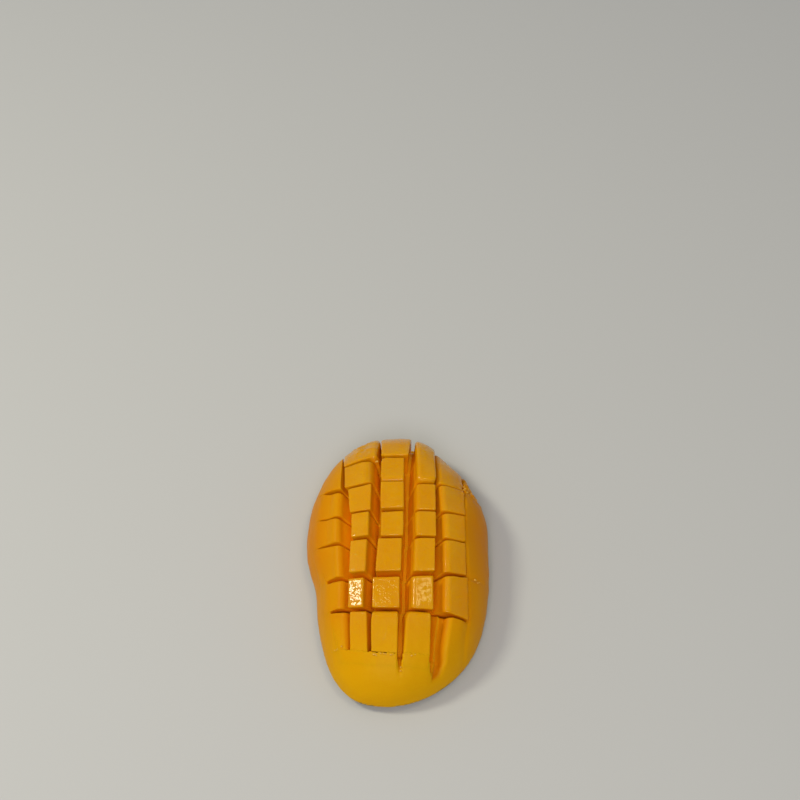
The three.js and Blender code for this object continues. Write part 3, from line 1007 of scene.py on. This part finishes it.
class MangoColours(bpy.types.PropertyGroup):
    """Colours of the half and its table."""

    flesh: colour_property("Flesh", "Ripe flesh on the cubes", "#db8c00")
    flesh_pale: colour_property("Pale flesh", "Paler patches of the flesh", "#e0a404")
    # Riper flesh out on the flanks, also used as painted shade on the walls of the cuts.
    flesh_flank_and_shade: colour_property("Flank flesh", "Riper flesh out on the flanks", "#d68200")
    # Painted glow: a bright orange down in the cuts for light scattered through the flesh and thrown
    # between their walls.
    flesh_deep_glow: colour_property("Deep flesh", "Flesh down in the cuts", "#ffb40c")
    skin: colour_property("Skin", "Ripe skin", "#b8962a")
    skin_green: colour_property("Green skin", "Greener patches of the skin", "#7d8430")
    skin_dots: colour_property("Skin dots", "The skin's pale pores", "#cfc27c")
    # Painted glints: the specks' pale colour is partly the sparkle of light on juice, partly torn pulp.
    froth: colour_property("Froth", "Specks of juice and torn pulp", "#e0a63c")
    table: colour_property("Table", "The table's paint", "#c6c5ca")


def sizes_of(context):
    return context.scene.mango_sizes


def colours_of(context):
    return context.scene.mango_colours


# ---- Operators ----


class MANGO_OT_bed(bpy.types.Operator):
    """Models the flesh under and round the cuts"""

    bl_idname = "mango.bed"
    bl_label = "Flesh bed"

    def execute(self, context):
        mesh = bed_mesh(sizes_of(context))
        finish_piece("flesh_bed", mesh, flesh_material(colours_of(context)))
        return {"FINISHED"}


class MANGO_OT_cubes(bpy.types.Operator):
    """Models the cubes of flesh between the cuts, one mesh for each column"""

    bl_idname = "mango.cubes"
    bl_label = "Flesh cubes"

    def execute(self, context):
        rounding = sizes_of(context).rounding / MM
        for number, pieces in enumerate(cube_pieces(), 1):
            mesh = pieces_mesh("cubes", pieces, CUBE_CELLS, rounding, DULL if number == 1 else MOIST)
            finish_piece(f"flesh_column_{number}", mesh, bpy.data.materials[FLESH])
        return {"FINISHED"}


class MANGO_OT_lips(bpy.types.Operator):
    """Models the edges of flesh beside the finest cuts"""

    bl_idname = "mango.lips"
    bl_label = "Cut edges"

    def execute(self, context):
        mesh = pieces_mesh("lips", lip_pieces(), LIP_CELLS, sizes_of(context).rounding / MM, DULL)
        finish_piece("flesh_cut_edges", mesh, bpy.data.materials[FLESH])
        return {"FINISHED"}


class MANGO_OT_froth(bpy.types.Operator):
    """Models the specks of juice and torn pulp, pale partly as painted glints"""

    bl_idname = "mango.froth"
    bl_label = "Juice froth"

    def execute(self, context):
        finish_piece("juice_froth_glints", froth_mesh(), froth_glint_material(colours_of(context)))
        return {"FINISHED"}


class MANGO_OT_skin(bpy.types.Operator):
    """Models the skin under the flesh"""

    bl_idname = "mango.skin"
    bl_label = "Skin"

    def execute(self, context):
        mesh = skin_mesh(sizes_of(context))
        finish_piece("skin_shell", mesh, skin_material(colours_of(context)))
        return {"FINISHED"}


# ---- The stage, in metres ----

TABLE_REACH = 1.5               # how far the table reaches from its middle
CAMERA_PLACE = Vector((1.1, -280.35, 485.0)) * MM
CAMERA_TILT = math.radians(53.28)
FIELD_OF_VIEW = math.radians(30.0)
ROOM_COLOUR = "#e8ecf0"
ROOM_STRENGTH = 0.38
KEY_PLACE = (-0.08, -0.75, 0.9)
KEY_SIDE = 0.5
KEY_WATTS = 4.5
KEY_COLOUR = "#fffaf2"

# The small lamps that wet tops of one row mirror into the camera, each by its column.
LAMP_DISTANCE = 0.9
LAMP_ROW = 1
Lamp = namedtuple("Lamp", "name column side watts colour")
LAMPS = (
    Lamp("left ceiling lamp", 1, 0.17, 3.0, "#fffde0"),
    Lamp("middle ceiling lamp", 2, 0.06, 0.09, "#fff8b0"),
    Lamp("right ceiling lamp", 3, 0.16, 0.75, "#fff8b0"),
)


def area_light(name, place, target, side, watts, colour):
    """A square soft light at a place that looks at a target."""
    light = bpy.data.lights.new(name, "AREA")
    light.shape = "SQUARE"
    light.size = side
    light.energy = watts
    light.color = to_linear(colour)
    lamp = bpy.data.objects.new(name, light)
    lamp.location = place
    lamp.rotation_euler = (Vector(target) - Vector(place)).to_track_quat("-Z", "Y").to_euler()
    bpy.context.scene.collection.objects.link(lamp)


def mirror_lamp(lamp, piece):
    """A lamp that stands where a cube's top mirrors it into the camera."""
    one = np.ones(4)
    u = np.array((0.0, 0.0, 1.0, 1.0))
    v = np.array((0.0, 1.0, 0.0, 1.0))
    corners = flesh(*in_cell(piece.cell, 1, u, v, one), piece.lift + np.array(piece.strays)) * MM
    middle = Vector(corners.mean(axis=0))
    normal = Vector(corners[2] - corners[1]).cross(Vector(corners[3] - corners[0])).normalized()
    to_eye = (CAMERA_PLACE - middle).normalized()
    place = middle + (2 * normal.dot(to_eye) * normal - to_eye) * LAMP_DISTANCE
    area_light(lamp.name, place, middle, lamp.side, lamp.watts, lamp.colour)


class MANGO_OT_stage(bpy.types.Operator):
    """Sets the table, the lights and the camera"""

    bl_idname = "mango.stage"
    bl_label = "Table, lights and camera"

    def execute(self, context):
        bm = bmesh.new()
        bmesh.ops.create_grid(bm, x_segments=8, y_segments=8, size=TABLE_REACH)
        table = mesh_of(bm, "table")
        table.materials.append(table_material(colours_of(context)))
        add_to_scene("table", table)
        camera = bpy.data.cameras.new("camera")
        camera.sensor_width = 36
        camera.lens = camera.sensor_width / 2 / math.tan(FIELD_OF_VIEW / 2)
        camera.clip_start = 0.01
        eye = bpy.data.objects.new("camera", camera)
        eye.location = CAMERA_PLACE
        eye.rotation_euler = (math.radians(90) - CAMERA_TILT, 0, 0)
        context.scene.collection.objects.link(eye)
        context.scene.camera = eye
        world = bpy.data.worlds.new("soft room")
        world.use_nodes = True
        background = world.node_tree.nodes["Background"]
        background.inputs["Color"].default_value = rgba(to_linear(ROOM_COLOUR))
        background.inputs["Strength"].default_value = ROOM_STRENGTH
        context.scene.world = world
        context.scene.view_settings.view_transform = "Standard"
        area_light("key", KEY_PLACE, (0, 0, 0), KEY_SIDE, KEY_WATTS, KEY_COLOUR)
        columns = cube_pieces()
        for lamp in LAMPS:
            mirror_lamp(lamp, columns[lamp.column][LAMP_ROW])
        return {"FINISHED"}


class MANGO_PT_panel(bpy.types.Panel):
    """Lists the pieces of the half"""

    bl_label = "Mango half"
    bl_idname = "MANGO_PT_panel"
    bl_space_type = "VIEW_3D"
    bl_region_type = "UI"
    bl_category = "Mango half"

    def draw(self, context):
        layout = self.layout
        for operator in OPERATORS:
            layout.operator(operator.bl_idname)
        for settings in (sizes_of(context), colours_of(context)):
            for name in type(settings).__annotations__:
                layout.prop(settings, name)


OPERATORS = (MANGO_OT_stage, MANGO_OT_bed, MANGO_OT_cubes, MANGO_OT_lips, MANGO_OT_froth, MANGO_OT_skin)
CLASSES = (MangoSizes, MangoColours, *OPERATORS, MANGO_PT_panel)


def register():
    for cls in CLASSES:
        bpy.utils.register_class(cls)
    bpy.types.Scene.mango_sizes = bpy.props.PointerProperty(type=MangoSizes)
    bpy.types.Scene.mango_colours = bpy.props.PointerProperty(type=MangoColours)


def unregister():
    del bpy.types.Scene.mango_colours
    del bpy.types.Scene.mango_sizes
    for cls in reversed(CLASSES):
        bpy.utils.unregister_class(cls)


def main():
    register()
    bpy.ops.mango.stage()
    bpy.ops.mango.bed()
    bpy.ops.mango.cubes()
    bpy.ops.mango.lips()
    bpy.ops.mango.froth()
    bpy.ops.mango.skin()


if __name__ == "__main__":
    main()
